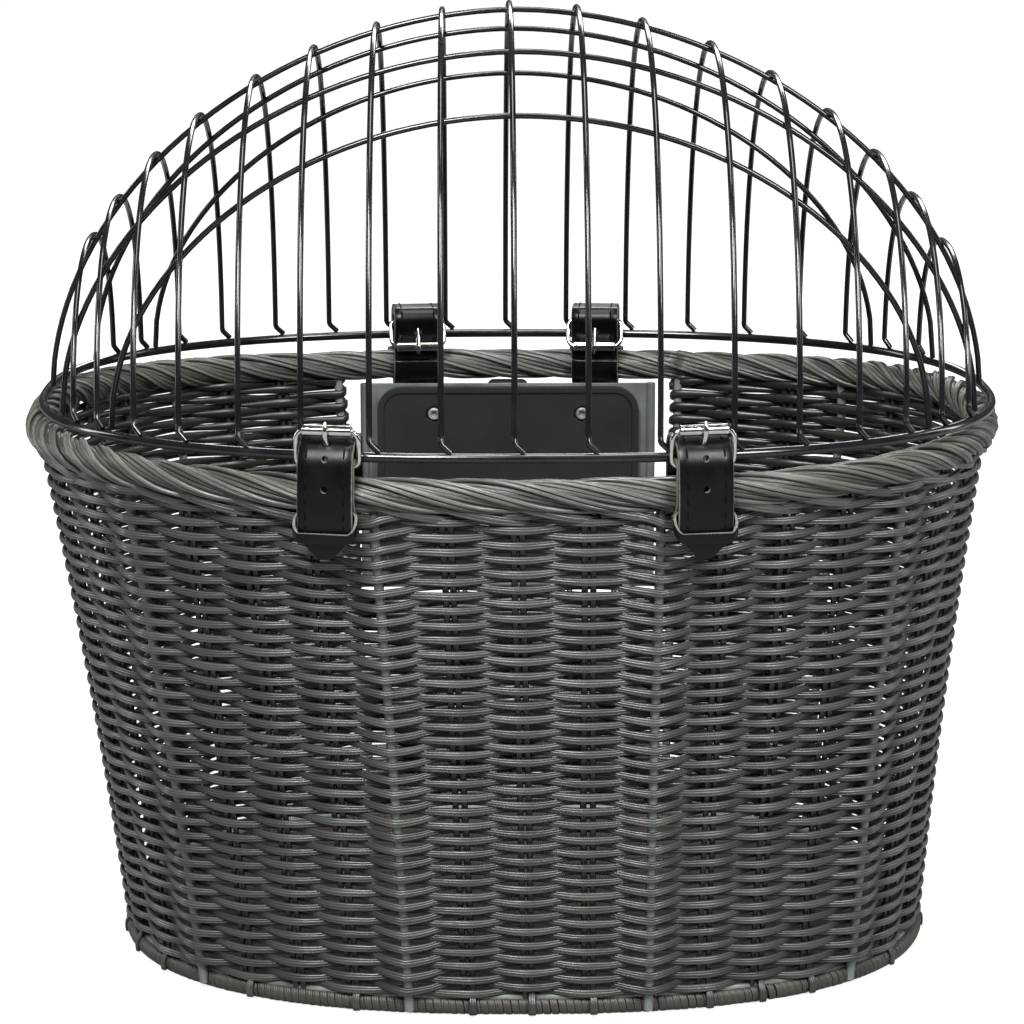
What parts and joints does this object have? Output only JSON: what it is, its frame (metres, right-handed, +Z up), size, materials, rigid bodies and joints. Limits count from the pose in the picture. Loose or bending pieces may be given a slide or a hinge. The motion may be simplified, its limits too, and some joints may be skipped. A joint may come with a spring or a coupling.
{
  "type": "dog bicycle basket",
  "caption": "Oval woven dog basket for a bicycle handlebar, with a domed wire lid held by buckled leather straps and a rear mounting plate.",
  "frame": {"origin": "middle of the floor board's underside, on which the basket rests", "axes": "+Z up, +Y towards the handlebar plates at the rear, +X to the basket's left-right length, right seen from the front"},
  "size_m": [0.4402, 0.3502, 0.4217],
  "materials": {
    "woven_strand": "grooved resin strand, dull sheen",
    "grey_wire": "grey-green coated wire",
    "plywood": "bare plywood",
    "zinc": "zinc plated, slightly green",
    "black_plastic": "moulded, fine grain",
    "black_wire": "glossy black coating",
    "black_leather": "smooth, stitched along the edges",
    "chrome": "polished"
  },
  "bodies": {
    "root": {"floor_board": "plywood", "base_border": "woven_strand", "wire_frame": "grey_wire", "rim_border": "woven_strand", "basket_wall": "woven_strand", "frame_plate": "zinc", "backing_plate": "black_plastic", "adapter_plate": "black_plastic", "plate_bolt_1": "zinc", "plate_bolt_2": "zinc", "plate_bolt_3": "zinc", "plate_bolt_4": "zinc", "strap_front_left_band": "black_leather", "strap_front_left_keeper": "black_leather", "buckle_front_left_frame": "chrome", "strap_front_right_band": "black_leather", "strap_front_right_keeper": "black_leather", "buckle_front_right_frame": "chrome", "strap_rear_left_band": "black_leather", "strap_rear_left_keeper": "black_leather", "buckle_rear_left_frame": "chrome", "strap_rear_right_band": "black_leather", "strap_rear_right_keeper": "black_leather", "buckle_rear_right_frame": "chrome"},
    "lid": {"dome_ring": "black_wire", "rib_01": "black_wire", "rib_02": "black_wire", "rib_03": "black_wire", "rib_04": "black_wire", "rib_05": "black_wire", "rib_06": "black_wire", "rib_07": "black_wire", "rib_08": "black_wire", "rib_09": "black_wire", "rib_10": "black_wire", "rib_11": "black_wire", "rib_12": "black_wire", "rib_13": "black_wire", "rib_14": "black_wire", "rib_15": "black_wire", "rib_16": "black_wire", "rib_17": "black_wire", "hoop_1": "black_wire", "hoop_2": "black_wire", "hoop_3": "black_wire", "hoop_4": "black_wire", "hoop_5": "black_wire"},
    "tongue_front_left": {"strap_front_left_tongue": "black_leather"},
    "prong_front_left": {"buckle_front_left_prong": "chrome"},
    "roller_front_left": {"buckle_front_left_roller": "chrome"},
    "tongue_front_right": {"strap_front_right_tongue": "black_leather"},
    "prong_front_right": {"buckle_front_right_prong": "chrome"},
    "roller_front_right": {"buckle_front_right_roller": "chrome"},
    "tongue_rear_left": {"strap_rear_left_tongue": "black_leather"},
    "prong_rear_left": {"buckle_rear_left_prong": "chrome"},
    "roller_rear_left": {"buckle_rear_left_roller": "chrome"},
    "tongue_rear_right": {"strap_rear_right_tongue": "black_leather"},
    "prong_rear_right": {"buckle_rear_right_prong": "chrome"},
    "roller_rear_right": {"buckle_rear_right_roller": "chrome"}
  },
  "joints": [
    {"name": "lid_hinge", "type": "hinge", "parent": "root", "child": "lid", "pos_m": [0, 0.16039, 0.247], "axis": [-1, 0, 0], "range_deg": [0, 95]},
    {"name": "strap_front_left_tongue_bend", "type": "hinge", "parent": "root", "child": "tongue_front_left", "pos_m": [-0.07271, -0.14772, 0.24584], "axis": [-0.9834, 0.1815, 0], "range_deg": [0, 125.1], "deforming": ["strap_front_left_tongue"]},
    {"name": "buckle_front_left_prong_pivot", "type": "hinge", "parent": "root", "child": "prong_front_left", "pos_m": [-0.07556, -0.16316, 0.24424], "axis": [0.9834, -0.1815, 0], "range_deg": [0, 80]},
    {"name": "buckle_front_left_roller_spin", "type": "hinge", "parent": "root", "child": "roller_front_left", "pos_m": [-0.07576, -0.16424, 0.25909], "axis": [-0.9834, 0.1815, 0], "continuous": true},
    {"name": "strap_front_right_tongue_bend", "type": "hinge", "parent": "root", "child": "tongue_front_right", "pos_m": [0.07271, -0.14772, 0.24584], "axis": [-0.9834, -0.1815, 0], "range_deg": [0, 125.1], "deforming": ["strap_front_right_tongue"]},
    {"name": "buckle_front_right_prong_pivot", "type": "hinge", "parent": "root", "child": "prong_front_right", "pos_m": [0.07556, -0.16316, 0.24424], "axis": [0.9834, 0.1815, 0], "range_deg": [0, 80]},
    {"name": "buckle_front_right_roller_spin", "type": "hinge", "parent": "root", "child": "roller_front_right", "pos_m": [0.07576, -0.16424, 0.25909], "axis": [-0.9834, -0.1815, 0], "continuous": true},
    {"name": "strap_rear_left_tongue_bend", "type": "hinge", "parent": "root", "child": "tongue_rear_left", "pos_m": [-0.04487, 0.15148, 0.23536], "axis": [0.996, 0.0898, 0], "range_deg": [0, 120], "deforming": ["strap_rear_left_tongue"]},
    {"name": "buckle_rear_left_prong_pivot", "type": "hinge", "parent": "root", "child": "prong_rear_left", "pos_m": [-0.04503, 0.15332, 0.25506], "axis": [-0.996, -0.0898, 0], "range_deg": [0, 70]},
    {"name": "buckle_rear_left_roller_spin", "type": "hinge", "parent": "root", "child": "roller_rear_left", "pos_m": [-0.04452, 0.14765, 0.24256], "axis": [-0.996, -0.0898, 0], "continuous": true},
    {"name": "strap_rear_right_tongue_bend", "type": "hinge", "parent": "root", "child": "tongue_rear_right", "pos_m": [0.04311, 0.15164, 0.23535], "axis": [0.9964, -0.0848, 0], "range_deg": [0, 120], "deforming": ["strap_rear_right_tongue"]},
    {"name": "buckle_rear_right_prong_pivot", "type": "hinge", "parent": "root", "child": "prong_rear_right", "pos_m": [0.04327, 0.15348, 0.25505], "axis": [-0.9964, 0.0848, 0], "range_deg": [0, 70]},
    {"name": "buckle_rear_right_roller_spin", "type": "hinge", "parent": "root", "child": "roller_rear_right", "pos_m": [0.04278, 0.1478, 0.24255], "axis": [-0.9964, 0.0848, 0], "continuous": true}
  ],
  "couplings": [
    {"joint": "strap_front_left_tongue_bend", "follows": "lid_hinge", "ratio": 1.3158},
    {"joint": "buckle_front_left_prong_pivot", "follows": "lid_hinge", "ratio": 0.8421},
    {"joint": "strap_front_right_tongue_bend", "follows": "lid_hinge", "ratio": 1.3158},
    {"joint": "buckle_front_right_prong_pivot", "follows": "lid_hinge", "ratio": 0.8421},
    {"joint": "buckle_rear_left_prong_pivot", "follows": "strap_rear_left_tongue_bend", "ratio": 0.5833},
    {"joint": "buckle_rear_right_prong_pivot", "follows": "strap_rear_right_tongue_bend", "ratio": 0.5833}
  ]
}
